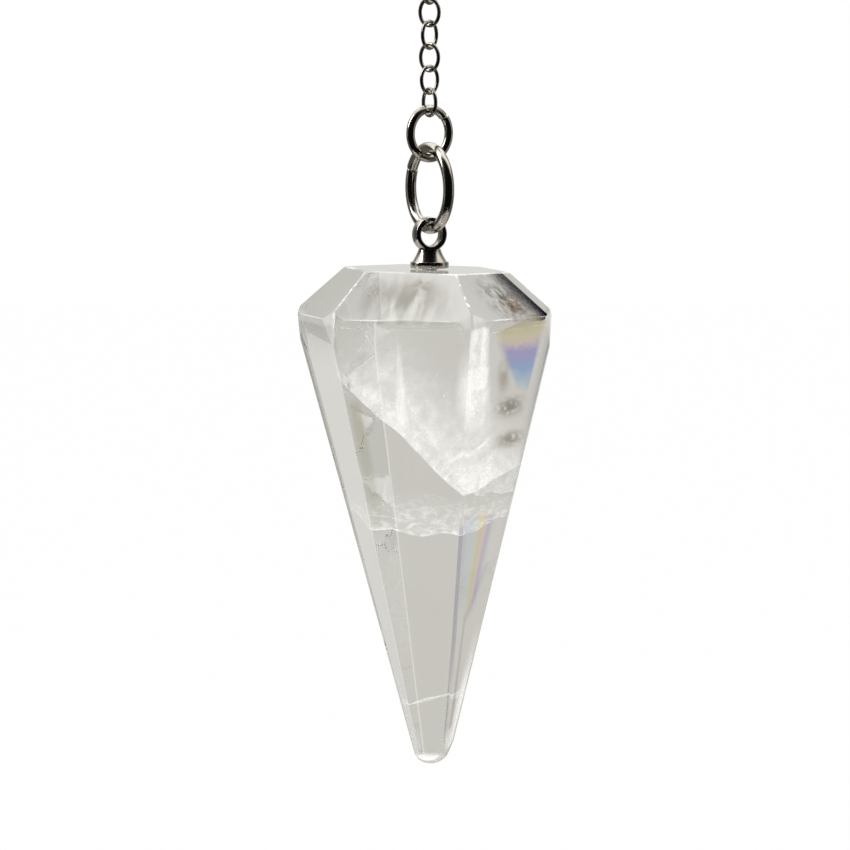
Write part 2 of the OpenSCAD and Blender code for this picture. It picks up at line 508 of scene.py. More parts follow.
def turned(name, sections):
    """A lathe's work: sections of (radius, height) from the bottom up, closed at both ends."""
    deselect_all()
    radius, height = sections[0]
    bpy.ops.mesh.primitive_circle_add(vertices=96, radius=radius, fill_type="NGON", location=(0, 0, height))
    piece = active()
    piece.name = name
    apply_place(piece)
    bpy.ops.object.mode_set(mode="EDIT")
    bpy.ops.mesh.select_all(action="SELECT")
    for next_radius, next_height in sections[1:]:
        share = next_radius / radius
        bpy.ops.mesh.extrude_region_move(TRANSFORM_OT_translate={"value": (0, 0, next_height - height)})
        bpy.ops.transform.resize(value=(share, share, 1), center_override=(0, 0, next_height))
        radius, height = next_radius, next_height
    bpy.ops.mesh.select_all(action="SELECT")
    bpy.ops.mesh.normals_make_consistent(inside=False)
    bpy.ops.object.mode_set(mode="OBJECT")
    return piece


cap = turned("cap_and_eye", sections)
print("Sections of the cap:", len(sections))

# %% [markdown]
# The eye is soldered on top of the cap, across the carrier ring that runs through it. It is a flat ring: a
# circle is extruded and drawn in to the hole, and the face between them is lifted to the eye's width. A
# Boolean then joins it to the cap, as the solder does.

# %% Make the eye and solder it on
deselect_all()
bpy.ops.mesh.primitive_circle_add(vertices=96, radius=EYE_D / 2, location=(0, 0, -EYE_W / 2))
eye = active()
apply_place(eye)
bpy.ops.object.mode_set(mode="EDIT")
bpy.ops.mesh.select_all(action="SELECT")
bpy.ops.mesh.extrude_edges_move()
hole_share = EYE_HOLE_D / EYE_D
bpy.ops.transform.resize(value=(hole_share, hole_share, 1), center_override=(0, 0, -EYE_W / 2))
bpy.ops.mesh.select_all(action="SELECT")
bpy.ops.mesh.extrude_region_move(TRANSFORM_OT_translate={"value": (0, 0, EYE_W)})
bpy.ops.mesh.select_all(action="SELECT")
bpy.ops.mesh.normals_make_consistent(inside=False)
bpy.ops.object.mode_set(mode="OBJECT")
rims = eye.modifiers.new("rims", "BEVEL")
rims.width = EYE_CHAMFER
rims.segments = 4
rims.angle_limit = math.radians(60)
apply_modifier(eye, rims)
hang_ring(eye, EYE_TURN, eye_z)

solder = cap.modifiers.new("solder", "BOOLEAN")
solder.operation = "UNION"
solder.object = eye
solder.solver = "EXACT"
apply_modifier(cap, solder)
bpy.data.objects.remove(eye)
deselect_all()
cap.select_set(True)
bpy.context.view_layer.objects.active = cap
bpy.ops.object.shade_smooth_by_angle(angle=math.radians(35))
settle(cap, "drop", cap_metal)
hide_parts("eye_cap")

# %% [markdown]
# The stone is a six-sided drop: a small table on top, a low crown, a girdle where it is widest, and six
# long flats down to a narrow tip. Its sides are a little uneven, as hand-cut ones are, so each has its own
# row. A side's distance from the middle at two levels gives the plane of its flat.

# %% The stone's sizes
stone_low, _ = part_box("crystal")
STONE_H = 40 * MM
CROWN_H = 3.6 * MM
GIRDLE_R = 10.9 * MM
TABLE_R = 6.75 * MM
TIP_R = 1.15 * MM
NOSE_R = 1.65 * MM
TABLE_TILT = math.radians(1.4)
GIRDLE_SHIFT = -0.4 * MM
TIP_SHIFT = 0.1 * MM
tip_z = stone_low.z
table_z = tip_z + STONE_H
girdle_z = table_z - CROWN_H

# Each side: where it faces, in degrees from +X; half the angle between its corners; and the factor on the
# tip's radius for it.
SIDES = [
    {"bearing": -101.75, "half": 33.25, "tip": 1.0},
    {"bearing": -40.25, "half": 28.25, "tip": 1.73},
    {"bearing": 18, "half": 30, "tip": 1.0},
    {"bearing": 76.5, "half": 28.5, "tip": 1.0},
    {"bearing": 136.5, "half": 31.5, "tip": 1.0},
    {"bearing": -163.5, "half": 28.5, "tip": 1.0},
]


def side_distance(side, radius, shift):
    """How far a side lies from the hanging line at a level where the corners have this radius."""
    return radius * math.cos(math.radians(side["half"])) + shift * math.cos(math.radians(side["bearing"]))


def flat_plane(side, lower, upper):
    """The plane through a side at two levels, each (distance, height): a point on it and the way it faces."""
    turn = Matrix.Rotation(math.radians(side["bearing"]), 3, "Z")
    point = turn @ Vector((lower[0], 0, lower[1]))
    normal = turn @ Vector((upper[1] - lower[1], 0, lower[0] - upper[0]))
    return point, normal.normalized()


def stone_planes():
    """Every flat of the stone: the table, then a crown flat and a long flat for each side, then the tip."""
    planes = [(Vector((0, 0, table_z)), Vector((math.sin(TABLE_TILT), 0, math.cos(TABLE_TILT))))]
    for side in SIDES:
        at_tip = (side_distance(side, TIP_R * side["tip"], TIP_SHIFT), tip_z)
        at_girdle = (side_distance(side, GIRDLE_R, GIRDLE_SHIFT), girdle_z)
        at_table = (side_distance(side, TABLE_R, GIRDLE_SHIFT), table_z)
        planes.append(flat_plane(side, at_girdle, at_table))
        planes.append(flat_plane(side, at_tip, at_girdle))
    planes.append((Vector((0, 0, tip_z)), Vector((0, 0, -1))))
    return planes


# %% [markdown]
# A lapidary grinds a rough block down, one flat at a time. Blender's bisect does the same: it throws away
# what lies outside a plane and closes the cut. Starting from a cube larger than the stone, it finds every
# edge and corner by itself.


# %% Grind the flats
def grind(point, normal, close=True):
    """Cuts away all of the piece in edit mode that lies outside a plane, and closes the cut with a flat."""
    bpy.ops.mesh.select_all(action="SELECT")
    bpy.ops.mesh.bisect(plane_co=point, plane_no=normal, use_fill=close, clear_outer=True, threshold=1e-7)


deselect_all()
bpy.ops.mesh.primitive_cube_add(size=2 * STONE_H, location=(0, 0, (table_z + tip_z) / 2))
stone = active()
stone.name = "rock_crystal"
apply_place(stone)
bpy.ops.object.mode_set(mode="EDIT")
for point, normal in stone_planes():
    grind(point, normal)
bpy.ops.object.mode_set(mode="OBJECT")
print("Flats on the stone:", len(stone.data.polygons))

# %% [markdown]
# Polishing takes the edges off: the table's rim most, then the long edges and the crown's, and the girdle
# least. So each edge carries its own bevel weight, and one Bevel modifier rounds them all, corners
# included. The narrow strips that it makes get a material of their own, which carries tiny white chips
# and painted highlights.

# %% Round the edges
FLATS, EDGES = 0, 1
EDGE_ROUND = 0.6 * MM
WEIGHTS = {"girdle": 0.25, "table": 0.6, "crown": 0.45, "long": 0.5, "tip": 0.3}
CLOSE_BY = 0.1 * CROWN_H


def edge_kind(edge):
    """Which of the stone's edges this is, told by the heights of its two ends."""
    low, high = sorted(stone.data.vertices[v].co.z for v in edge.vertices)
    if high < tip_z + CLOSE_BY:
        return "tip"
    if low < tip_z + CLOSE_BY:
        return "long"
    if low > girdle_z + CROWN_H / 2:
        return "table"
    if high < girdle_z + CLOSE_BY:
        return "girdle"
    return "crown"


weight = stone.data.attributes.new("bevel_weight_edge", "FLOAT", "EDGE")
for edge in stone.data.edges:
    weight.data[edge.index].value = WEIGHTS[edge_kind(edge)]
rounding = stone.modifiers.new("rounding", "BEVEL")
rounding.limit_method = "WEIGHT"
rounding.width = EDGE_ROUND
rounding.segments = 5
rounding.profile = 0.5
rounding.miter_outer = "MITER_SHARP"
rounding.material = EDGES
print("Edges to round:", len(stone.data.edges))

# %% [markdown]
# Clear quartz bends light a little more than window glass does, with an index of 1.544. A Principled BSDF
# carries that, and a bump from a soft noise gives the flats the slight waves of a hand polish. The ground
# nose scatters white, so a white diffuse is mixed in there. On the edges the same white is partly chips
# and partly painted light: dots of chips and painted glints on the crown's edges, and a painted highlight
# along the girdle and the table's rim. For shadow rays the stone is plainly transparent, since otherwise
# no lamp would reach the veils inside.

# %% Rock crystal
QUARTZ_INDEX = 1.544
# The white of the ground nose, of the chips, and of the painted highlights on the edges.
MATT_AND_HIGHLIGHT_WHITE = (0.97, 0.97, 0.96, 1)
DOT_SHARE = 0.55
HIGHLIGHT_LINE_SHARE = 0.3
NOSE_SHARE = 0.3


def near_level(tree, height, level, reach):
    """1 at a level of the stone, falling to 0 at this reach above and below it."""
    distance = math_node(tree, "ABSOLUTE", math_node(tree, "SUBTRACT", height, level))
    return math_node(tree, "SUBTRACT", 1.0, smooth_step(tree, distance, 0.2 * reach, reach))


def chip_and_highlight_share(tree, place):
    """Painted highlight lines along girdle and table rim, and dots of chips and painted glints on the crown.
    """
    height = math_node(tree, "SUBTRACT", put(tree, "SeparateXYZ", {"Vector": place}).outputs["Z"], girdle_z)
    on_crown = math_node(tree, "SUBTRACT", smooth_step(tree, height, 0.2 * MM, 0.4 * MM),
                         smooth_step(tree, height, CROWN_H - 0.6 * MM, CROWN_H - 0.3 * MM))
    # Dots on the crown's edges: partly chips, partly painted glints.
    dots = smooth_step(tree, soft_noise(tree, place, scale=1.7 / MM, detail=1.0), 0.5, 0.75)
    dots = math_node(tree, "MULTIPLY", dots, on_crown)
    runs = soft_noise(tree, place, scale=0.3 / MM, detail=2.0)
    # A broken white line along the girdle and the table's rim: a painted highlight on the rounded edges.
    by_girdle = near_level(tree, height, level=0, reach=0.25 * MM)
    girdle = math_node(tree, "MULTIPLY", by_girdle, smooth_step(tree, runs, 0.4, 0.58))
    by_rim = near_level(tree, height, level=CROWN_H, reach=0.5 * MM)
    rim = math_node(tree, "MULTIPLY", by_rim, smooth_step(tree, runs, 0.3, 0.6))
    lines = math_node(tree, "MULTIPLY", math_node(tree, "MAXIMUM", girdle, rim), HIGHLIGHT_LINE_SHARE)
    return math_node(tree, "MAXIMUM", math_node(tree, "MULTIPLY", dots, DOT_SHARE), lines)


def nose_share(tree, place):
    """How matt the rounded nose is: it is ground, but too small to take the same polish as the flats."""
    height = math_node(tree, "SUBTRACT", put(tree, "SeparateXYZ", {"Vector": place}).outputs["Z"], tip_z)
    above = math_node(tree, "SUBTRACT", 1.0, smooth_step(tree, height, 0.45 * MM, 1.1 * MM))
    return math_node(tree, "MULTIPLY", above, NOSE_SHARE)


def stone_glass(name, roughness, wave_size, wave_depth, chips_and_highlights=False):
    """Clear quartz with chips and painted highlights, or a matt nose. Shadow rays pass it to light what is
    inside.
    """
    material = bpy.data.materials.new(name)
    material.use_nodes = True
    tree = material.node_tree
    surface = tree.nodes["Principled BSDF"]
    surface.inputs["Base Color"].default_value = (0.985, 0.985, 0.98, 1)
    surface.inputs["IOR"].default_value = QUARTZ_INDEX
    surface.inputs["Transmission Weight"].default_value = 1.0
    place = put(tree, "TexCoord").outputs["Object"]
    haze = soft_noise(tree, place, scale=0.2 / MM, detail=3.0)
    rough = put(tree, "MapRange", {"Value": haze, "From Min": 0.35, "From Max": 0.7,
                                   "To Min": roughness * 0.3, "To Max": roughness})
    tree.links.new(rough.outputs["Result"], surface.inputs["Roughness"])
    wave = soft_noise(tree, place, scale=1 / wave_size, detail=2.0)
    bump = put(tree, "Bump", {"Height": wave, "Strength": 0.5, "Distance": wave_depth})
    tree.links.new(bump.outputs["Normal"], surface.inputs["Normal"])
    # On the edges this white is partly chips and partly painted highlights.
    matt = chip_and_highlight_share(tree, place) if chips_and_highlights else nose_share(tree, place)
    white = put(tree, "BsdfDiffuse", {"Color": MATT_AND_HIGHLIGHT_WHITE}).outputs["BSDF"]
    body = put(tree, "MixShader", {0: matt, 1: surface.outputs["BSDF"], 2: white}).outputs["Shader"]
    clear = put(tree, "BsdfTransparent", {"Color": (0.93, 0.93, 0.92, 1)})
    shadow = put(tree, "LightPath").outputs["Is Shadow Ray"]
    lit = put(tree, "MixShader", {0: shadow, 1: body, 2: clear.outputs["BSDF"]})
    tree.links.new(lit.outputs["Shader"], tree.nodes["Material Output"].inputs["Surface"])
    print(name, "is made of", len(tree.nodes), "nodes")
    return material


flat_glass = stone_glass("rock_crystal_flats", roughness=0.03, wave_size=4 * MM, wave_depth=0.03 * MM)
edge_glass = stone_glass("rock_crystal_edges", roughness=0.25, wave_size=0.5 * MM, wave_depth=0.012 * MM,
                         chips_and_highlights=True)
stone.data.materials.append(flat_glass)
stone.data.materials.append(edge_glass)
apply_modifier(stone, rounding)
# Below the girdle the flats carry no chips and no painted highlights.
EDGE_MATERIAL_END = girdle_z - 0.5 * MM
for face in stone.data.polygons:
    if face.center.z < EDGE_MATERIAL_END:
        face.material_index = FLATS

# %% [markdown]
# The polished stone has no points at the girdle: its six corners there are rounded. A lapidary rocks a
# corner against the wheel, and here a row of upright planes that touch one circle does the same.

# %% Round the girdle's corners
GIRDLE_POLISH_R = 10.23 * MM
CORNER_TURNS = range(-12, 13, 3)
UPRIGHT = 0.01
bpy.ops.object.mode_set(mode="EDIT")
for side in SIDES:
    for turn in CORNER_TURNS:
        corner = math.radians(side["bearing"] + side["half"] + turn)
        out = Vector((math.cos(corner), math.sin(corner), 0))
        grind(Vector((GIRDLE_SHIFT, 0, 0)) + out * GIRDLE_POLISH_R, out)
bpy.ops.object.mode_set(mode="OBJECT")
for face in stone.data.polygons:
    if abs(face.normal.z) < UPRIGHT:
        face.material_index = FLATS
print("Faces on the polished stone:", len(stone.data.polygons))

# %% [markdown]
# The tip isn't sharp but ends in a small, round nose. It is ground in the same way, with four rings of
# planes that all touch one ball, from nearly level ones at the bottom to steep ones at the sides.

# %% Round the nose
NOSE_RISES = (15, 30, 45, 60)
NOSE_STEPS = 24
nose_centre = Vector((TIP_SHIFT, 0, tip_z + NOSE_R))
bpy.ops.object.mode_set(mode="EDIT")
for rise in NOSE_RISES:
    for step in range(NOSE_STEPS):
        around = 2 * math.pi * step / NOSE_STEPS
        tilt = math.radians(rise)
        out = Vector((math.sin(tilt) * math.cos(around), math.sin(tilt) * math.sin(around), -math.cos(tilt)))
        grind(nose_centre + out * NOSE_R, out)
bpy.ops.object.mode_set(mode="OBJECT")
print("Faces with the nose:", len(stone.data.polygons))

# %% [markdown]
# The cap is glued with a short peg, so the stone has a drilled hole for it. A Boolean takes out a cylinder
# that is a little wider and deeper than the peg.

# %% Drill the hole for the cap's peg
GLUE_GAP = 0.05 * MM
DRILL_LENGTH = 10 * MM
drill_z = cap_low.z - GLUE_GAP + DRILL_LENGTH / 2
deselect_all()
bpy.ops.mesh.primitive_cylinder_add(vertices=48, radius=PEG_R + GLUE_GAP, depth=DRILL_LENGTH,
                                    location=(0, 0, drill_z))
drill = active()
apply_place(drill)
drilled = stone.modifiers.new("drilled", "BOOLEAN")
drilled.operation = "DIFFERENCE"
drilled.object = drill
drilled.solver = "EXACT"
apply_modifier(stone, drilled)
bpy.data.objects.remove(drill)
print("Faces with the hole:", len(stone.data.polygons))

# %% [markdown]
# A polished flat looks flat right up to its rounded edge. Smooth shading alone would blur it, so the
# normals are weighted by area: the large flats keep theirs, and only the narrow strips turn the light.

# %% Smooth the shading
deselect_all()
stone.select_set(True)
bpy.context.view_layer.objects.active = stone
bpy.ops.object.shade_smooth()
facing = stone.modifiers.new("facing", "WEIGHTED_NORMAL")
facing.mode = "FACE_AREA"
facing.weight = 80
facing.keep_sharp = False
apply_modifier(stone, facing)
settle(stone, "drop")
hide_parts("crystal")

# %% [markdown]
# Rock crystal grew, broke and healed many times. The breaks left thin veils of tiny bubbles inside it,
# which scatter light. Each veil is a sheet: a grid placed in the stone, rumpled by a Displace modifier,
# trimmed where it would come out through the flats, and given a hair of thickness.

# %% Sheets inside the stone
INSET = 0.2 * MM
VEIL_THICKNESS = 0.02 * MM


def trim_to_stone(inset):
    """Cuts the sheet in edit mode back to what lies inside the stone, an inset behind its flats."""
    for point, normal in stone_planes():
        grind(point - normal * inset, normal, close=False)


def veil_sheet(name, centre, along, upward, size, rumple=0.0, rumple_size=3 * MM, cells=60):
    """A rumpled sheet inside the stone: its width runs along one direction, its height up the other."""
    right = Vector(along).normalized()
    out = right.cross(Vector(upward)).normalized()
    up = out.cross(right)
    deselect_all()
    bpy.ops.mesh.primitive_grid_add(x_subdivisions=cells, y_subdivisions=cells, size=1, calc_uvs=True)
    sheet = active()
    sheet.name = name
    sheet.matrix_world = Matrix.Translation(centre) @ Matrix((right, up, out)).transposed().to_4x4()
    sheet.scale = (size[0], size[1], 1)
    apply_place(sheet)
    if rumple:
        cloud = bpy.data.textures.new(name + "_rumple", "CLOUDS")
        cloud.noise_scale = rumple_size
        cloud.noise_depth = 2
        rumpled = sheet.modifiers.new("rumpled", "DISPLACE")
        rumpled.texture = cloud
        rumpled.texture_coords = "LOCAL"
        rumpled.strength = rumple
        rumpled.mid_level = 0.5
        apply_modifier(sheet, rumpled)
    bpy.ops.object.mode_set(mode="EDIT")
    trim_to_stone(INSET)
    bpy.ops.object.mode_set(mode="OBJECT")
    wall = sheet.modifiers.new("wall", "SOLIDIFY")
    wall.thickness = VEIL_THICKNESS
    wall.offset = 0
    apply_modifier(sheet, wall)
    bpy.ops.object.shade_smooth()
    return sheet


def flat_place(side, part, across, height, depth):
    """A point behind a flat, this far across from the flat's middle, and the way that the flat faces."""
    at_girdle = Vector((side_distance(side, GIRDLE_R, GIRDLE_SHIFT), 0, girdle_z))
    at_table = Vector((side_distance(side, TABLE_R, GIRDLE_SHIFT), 0, table_z))
    at_tip = Vector((side_distance(side, TIP_R * side["tip"], TIP_SHIFT), 0, tip_z))
    lower, upper = (at_tip, at_girdle) if part == "long" else (at_girdle, at_table)
    rise = (upper - lower).normalized()
    normal = Vector((rise.z, 0, -rise.x))
    middle_point = lower.lerp(upper, (height - lower.z) / (upper.z - lower.z))
    turn = Matrix.Rotation(math.radians(side["bearing"]), 3, "Z")
    return turn @ (middle_point + Vector((0, across, 0)) - normal * depth), turn @ normal


def flat_strip(name, side, part, foot, head, width, depth=0.4 * MM, **options):
    """A sheet just behind a flat. Its foot and its head are (across, height) on that flat, in millimetres."""
    low, normal = flat_place(side, part, foot[0] * MM, foot[1] * MM, depth)
    high, normal = flat_place(side, part, head[0] * MM, head[1] * MM, depth)
    upward = high - low
    size = (width * MM, upward.length)
    return veil_sheet(name, (low + high) / 2, upward.cross(normal), upward, size, **options)


# %% [markdown]
# A veil is clear wherever it has gaps, and thins out towards its rims, which would show as lines
# otherwise. Both come from noises and ramps on the sheet's own map. The flats mirror a veil again and
# again inside the stone, and those repeats are kept faint so that the veil itself stays readable.


# %% What the veils are made of
def rim_fade(tree, uv, left, right, low, high):
    """Falls from 1 to 0 at a sheet's four rims; each number is the share of the sheet that fades there."""
    across = put(tree, "SeparateXYZ", {"Vector": uv}).outputs
    total = None
    for axis, start, end in (("X", left, right), ("Y", low, high)):
        for distance, width in ((across[axis], start), (math_node(tree, "SUBTRACT", 1.0, across[axis]), end)):
            if width:
                part = smooth_step(tree, distance, 0.0, width)
                total = part if total is None else math_node(tree, "MULTIPLY", total, part)
    return total


def wedge(tree, uv, shape):
    """The sheet's map with its sides drawn in; the shape is its width at the foot and head, as shares."""
    axes = put(tree, "SeparateXYZ", {"Vector": uv}).outputs
    ends = {"Value": axes["Y"], "To Min": shape[0], "To Max": shape[1]}
    width = put(tree, "MapRange", ends).outputs["Result"]
    from_middle = math_node(tree, "DIVIDE", math_node(tree, "SUBTRACT", axes["X"], 0.5), width)
    drawn_in = put(tree, "CombineXYZ", {"X": math_node(tree, "ADD", from_middle, 0.5), "Y": axes["Y"]})
    return drawn_in.outputs["Vector"]


def sheet_noise(tree, name, uv, size, grain, stretch=1.0):
    """A soft noise with grains of this size on the sheet, drawn out upwards; each name gets its own noise."""
    scale = (size[0] / grain, size[1] / grain / stretch, 1)
    place = put(tree, "Mapping", {"Vector": uv, "Scale": scale, "Location": (sum(name.encode()), 0, 0)})
    noise = {"Vector": place.outputs["Vector"], "Scale": 1.0, "Detail": 4.0, "Distortion": 0.3}
    return put(tree, "TexNoise", noise).outputs["Fac"]


def clear_material(name):
    """A new material with nothing on it yet, and its node tree."""
    material = bpy.data.materials.new(name)
    material.use_nodes = True
    material.node_tree.nodes.remove(material.node_tree.nodes["Principled BSDF"])
    return material, material.node_tree


def repeated(tree, share):
    """1 where a sheet is seen straight through one flat, and this share where the flats mirror it again."""
    straight = math_node(tree, "LESS_THAN", put(tree, "LightPath").outputs["Ray Depth"], 1.5)
    return put(tree, "MapRange", {"Value": straight, "To Min": share}).outputs["Result"]


def veil_material(name, size, haze, streaks, sparks, fade,
                  grain=1 * MM, stretch=3.0, decay=0.0, shape=(1, 1)):
    """Tiny bubbles in a sheet: a cloudy haze and streaks that thin out upwards, and bright sparks."""
    white = (0.95, 0.95, 0.94, 1)
    material, tree = clear_material(name)
    uv = put(tree, "TexCoord").outputs["UV"]
    cloud = smooth_step(tree, sheet_noise(tree, name, uv, size, 3 * grain), 0.25, 0.7)
    cloud = put(tree, "MapRange", {"Value": cloud, "To Min": 0.45 * haze, "To Max": haze}).outputs["Result"]
    drawn = smooth_step(tree, sheet_noise(tree, name, uv, size, grain, stretch), 0.42, 0.75)
    share = math_node(tree, "ADD", cloud, math_node(tree, "MULTIPLY", drawn, streaks))
    below_head = math_node(tree, "SUBTRACT", 1.0, put(tree, "SeparateXYZ", {"Vector": uv}).outputs["Y"])
    share = math_node(tree, "MULTIPLY", share, math_node(tree, "POWER", below_head, decay))
    fine = smooth_step(tree, sheet_noise(tree, name, uv, size, 0.3 * grain), 0.64, 0.7)
    share = math_node(tree, "MAXIMUM", share, math_node(tree, "MULTIPLY", fine, sparks))
    share = math_node(tree, "MULTIPLY", math_node(tree, "MINIMUM", share, 0.97), repeated(tree, 0.06))
    share = math_node(tree, "MULTIPLY", share, rim_fade(tree, wedge(tree, uv, shape), *fade))
    matt = put(tree, "BsdfDiffuse", {"Color": white})
    through = put(tree, "BsdfTranslucent", {"Color": white})
    bubbles = put(tree, "MixShader", {0: 0.5, 1: matt.outputs["BSDF"], 2: through.outputs["BSDF"]})
    gap = put(tree, "BsdfTransparent")
    shown = put(tree, "MixShader", {0: share, 1: gap.outputs["BSDF"], 2: bubbles.outputs["Shader"]})
    tree.links.new(shown.outputs["Shader"], tree.nodes["Material Output"].inputs["Surface"])
    return material


def fill_with_bubbles(sheet, size, **look):
    """Gives a sheet its bubbles and settles it in the stone; the look is what veil_material takes."""
    settle(sheet, "drop", veil_material(sheet.name, size, **look))


FRONT, RIGHT, LEFT = SIDES[0], SIDES[1], SIDES[5]

# %% [markdown]
# Three large sheets carry most of what shows inside: a healed veil that lies almost level across the stone,
# a great break behind the front flat that slants down to the right, and a bright break beside it. Their
# places were read from the photograph, and how deep they reach is a guess. All are strongly rumpled,
# because such breaks are never flat.

# %% The healed veil, the great break and the bright break
VEIL_SIZE = (16 * MM, 16 * MM)
SHARP_FADE = (0.02, 0.02, 0.02, 0.02)
veil = veil_sheet("healed_veil", Vector((0, 0, -42.6 * MM)), (1, 0, 0), (0, 1, 0.3), VEIL_SIZE,
                  rumple=1.0 * MM, rumple_size=2.5 * MM)
fill_with_bubbles(veil, VEIL_SIZE, haze=0.12, streaks=0.35, sparks=0.5, fade=SHARP_FADE, grain=0.7 * MM,
                  stretch=1.5, decay=1.2)

break_along = Vector((0.728, 0.007, -0.685))
break_up = Vector((0.35, 0.70, 0.62))
break_middle = Vector((-1.9, -6.7, -36.9)) * MM
BREAK_SIZE = (19 * MM, 15 * MM)
BREAK_RISE = 6
great = veil_sheet("great_break", break_middle + break_up * BREAK_RISE * MM, break_along, break_up,
                   BREAK_SIZE, rumple=0.6 * MM, rumple_size=4 * MM)
fill_with_bubbles(great, BREAK_SIZE, haze=0.42, streaks=0.28, sparks=0.7, fade=(0.35, 0.02, 0.0, 0.6),
                  grain=0.65 * MM, stretch=2, decay=1.4)

BRIGHT_SIZE = (9 * MM, 5.5 * MM)
bright_middle = Vector((4.2, -3.6, -39.2)) * MM
bright = veil_sheet("bright_break", bright_middle, (0.628, 0.772, -0.092), (-0.2, 0.35, 0.9), BRIGHT_SIZE,
                    rumple=0.8 * MM, rumple_size=2 * MM)
fill_with_bubbles(bright, BRIGHT_SIZE, haze=0.15, streaks=0.2, sparks=0.3, fade=(0.15, 0.1, 0.05, 0.4),
                  grain=0.7 * MM, stretch=1.2, decay=0.6)

# %% [markdown]
# Narrow bright marks lie close to the surface. Each is a strip just behind a flat, so it is placed by where
# its foot and its head show on that flat. A white band up the right flat beside the front corner is a
# painted highlight, the streak of light along that edge. A short crease crosses that corner, and a thin
# crack stands behind the front flat.

# %% A painted highlight by the front corner, and bright cracks there and behind the front
# The band is a painted highlight: white bubbles that stand for the streak of light down the front corner.
BAND_WIDTH = 4.0
BAND_LENGTH = 9.5
band = flat_strip("bright_band", RIGHT, "long", foot=(-2.6, -36.8), head=(-4.3, -27.4), width=BAND_WIDTH,
                  rumple=0.15 * MM, rumple_size=1 * MM)
fill_with_bubbles(band, (BAND_WIDTH * MM, BAND_LENGTH * MM), haze=0.4, streaks=0.5, sparks=0.9,
                  fade=(0.2, 0.3, 0.4, 0.05), grain=0.7 * MM, stretch=3, shape=(1, 0.55))

CREASE_SIZE = (4.6 * MM, 0.5 * MM)
crease_left, _ = flat_place(FRONT, "long", 1.88 * MM, -38.88 * MM, 0.5 * MM)
crease_right, _ = flat_place(RIGHT, "long", -0.3 * MM, -36.28 * MM, 0.5 * MM)
crease = veil_sheet("bright_crease", (crease_left + crease_right) / 2, crease_right - crease_left, (0, 0, 1),
                    CREASE_SIZE, rumple=0.1 * MM, rumple_size=1 * MM)
fill_with_bubbles(crease, CREASE_SIZE, haze=0.25, streaks=0.15, sparks=0.2, fade=(0.2, 0.2, 0.4, 0.45),
                  grain=0.4 * MM)

CRACK_WIDTH = 1.4
CRACK_LENGTH = 8
crack = flat_strip("bright_crack", FRONT, "long", foot=(-0.75, -36.2), head=(-0.75, -28.2),
                   width=CRACK_WIDTH, rumple=0.1 * MM, rumple_size=1 * MM)
fill_with_bubbles(crack, (CRACK_WIDTH * MM, CRACK_LENGTH * MM), haze=0.6, streaks=0.4, sparks=1.0,
                  fade=(0.48, 0.48, 0.2, 0.3), grain=0.5 * MM, stretch=6, decay=0.3, shape=(1, 0.3))

# %% [markdown]
# Two small healed marks are left: a short row of dots behind the right crown flat, and a small veil near
# the tip, which is seen edge-on as a line. They are made like the larger sheets.

# %% Small healed marks: dots behind the right crown flat, and a line near the tip
DOTS_WIDTH = 0.5
DOTS_LENGTH = 3.5
dots = flat_strip("crown_dots", RIGHT, "crown", foot=(-1.1, -26.6), head=(-0.8, -24.2), width=DOTS_WIDTH)
fill_with_bubbles(dots, (DOTS_WIDTH * MM, DOTS_LENGTH * MM), haze=0.05, streaks=0.1, sparks=0.8,
                  fade=(0.3, 0.3, 0.1, 0.1), grain=0.9 * MM, stretch=1)

TIP_SIZE = (8 * MM, 8 * MM)
tip_veil = veil_sheet("tip_veil", Vector((0.2, -0.4, -57.8)) * MM, (1, 0, 0.3), (0, 1, 0.02), TIP_SIZE,
                      rumple=0.25 * MM, rumple_size=1.5 * MM)
fill_with_bubbles(tip_veil, TIP_SIZE, haze=0.12, streaks=0.2, sparks=0.2, fade=SHARP_FADE, stretch=1)

# %% [markdown]
# Along some edges a soft white haze is painted light. Near the tip it paints the pale rim where the
# outline turns white, and by the front corner the brightest part of the streak of light down that edge.
# A smooth strip with a soft haze stands for each such patch. They differ only in place, size and
# strength, so a table lists them and one loop makes them.

# %% Hazes along the edges, painted light: a pale rim near the tip, and a highlight by the front corner
# Name, side, foot, head, width, haze and fade of each.
# The two tip rows paint a pale rim by the outline; the other three paint the highlight by the front corner.
HAZES = [
    ("right_frost", RIGHT, (-0.05, -62.4), (1.25, -51.5), 1.1, 0.5, (0.8, 0.05, 0.1, 0.5)),
    ("left_frost", LEFT, (0.0, -62.4), (-0.3, -54.5), 1.2, 0.45, (0.1, 0.8, 0.1, 0.6)),
    ("corner_haze", FRONT, (3.9, -35.5), (4.75, -28.0), 1.5, 0.45, (0.8, 0.05, 0.3, 0.6)),
    ("band_knot", RIGHT, (-3.75, -32.7), (-3.95, -30.6), 3.0, 0.97, (0.05, 0.2, 0.2, 0.25)),
    ("band_line", RIGHT, (-3.55, -30.6), (-3.9, -27.4), 0.5, 0.7, (0.4, 0.4, 0.3, 0.1)),
]
for name, side, foot, head, width, haze, fade in HAZES:
    strip = flat_strip(name, side, "long", foot, head, width, cells=20)
    size = (width * MM, (head[1] - foot[1]) * MM)
    fill_with_bubbles(strip, size, haze=haze, streaks=0.1, sparks=0.0, fade=fade, grain=1.5 * MM)

# %% [markdown]
# Where a break is as thin as a soap film, it splits white light into colours. A film only tints what lies
# behind it, so its material is transparent and its colour comes from a ramp: along the sheet's own map,
# bent by a soft noise.


